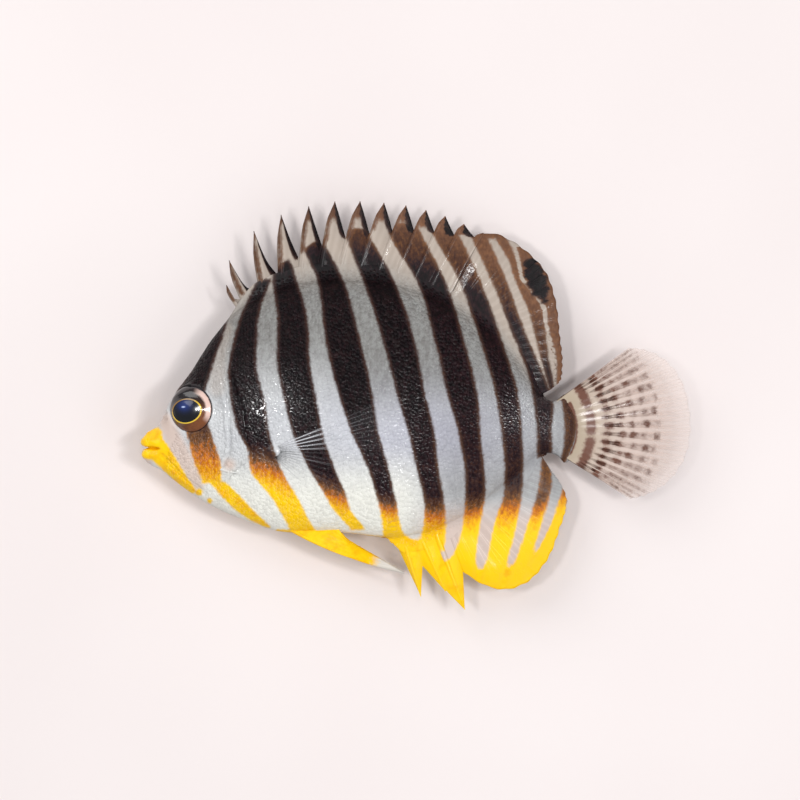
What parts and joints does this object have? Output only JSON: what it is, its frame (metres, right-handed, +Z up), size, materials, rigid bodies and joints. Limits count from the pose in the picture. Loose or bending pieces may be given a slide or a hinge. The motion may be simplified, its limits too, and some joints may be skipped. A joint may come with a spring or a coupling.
{
  "type": "multibarred angelfish",
  "caption": "Young barred angelfish lying on its right side: deep flat body, spiny dorsal fin, fan tail; a still, life-size model.",
  "frame": {"origin": "middle of the footprint, on the surface that the fish lies on", "axes": "+X from snout to tail, +Y from belly to back, +Z up, towards the fish's left side"},
  "size_m": [0.0622, 0.0461, 0.013],
  "materials": {
    "barred_flesh": "wet scaled skin, pale with dark bars",
    "yellow_muzzle": "wet smooth yellow skin",
    "fin_membrane": "wet barred fin membrane over spines and rays",
    "yellow_fin": "wet yellow fin membrane over spines and rays",
    "clear_fin": "wet, nearly clear membrane over fine rays",
    "eye": "wet clear cornea over a dark pupil"
  },
  "bodies": {
    "root": {"head": "barred_flesh", "lower_jaw": "yellow_muzzle", "gill_cover_left": "barred_flesh", "gill_cover_right": "barred_flesh", "eye_left": "eye", "eye_right": "eye", "torso": "barred_flesh", "tail_stalk": "barred_flesh", "dorsal_fin_spiny": "fin_membrane", "dorsal_fin_soft": "fin_membrane", "anal_fin_spiny": "yellow_fin", "anal_fin_soft": "yellow_fin", "caudal_fin": "clear_fin", "pectoral_fin_left": "clear_fin", "pectoral_fin_right": "clear_fin", "pelvic_fin_left": "yellow_fin", "pelvic_fin_right": "yellow_fin"}
  },
  "joints": []
}
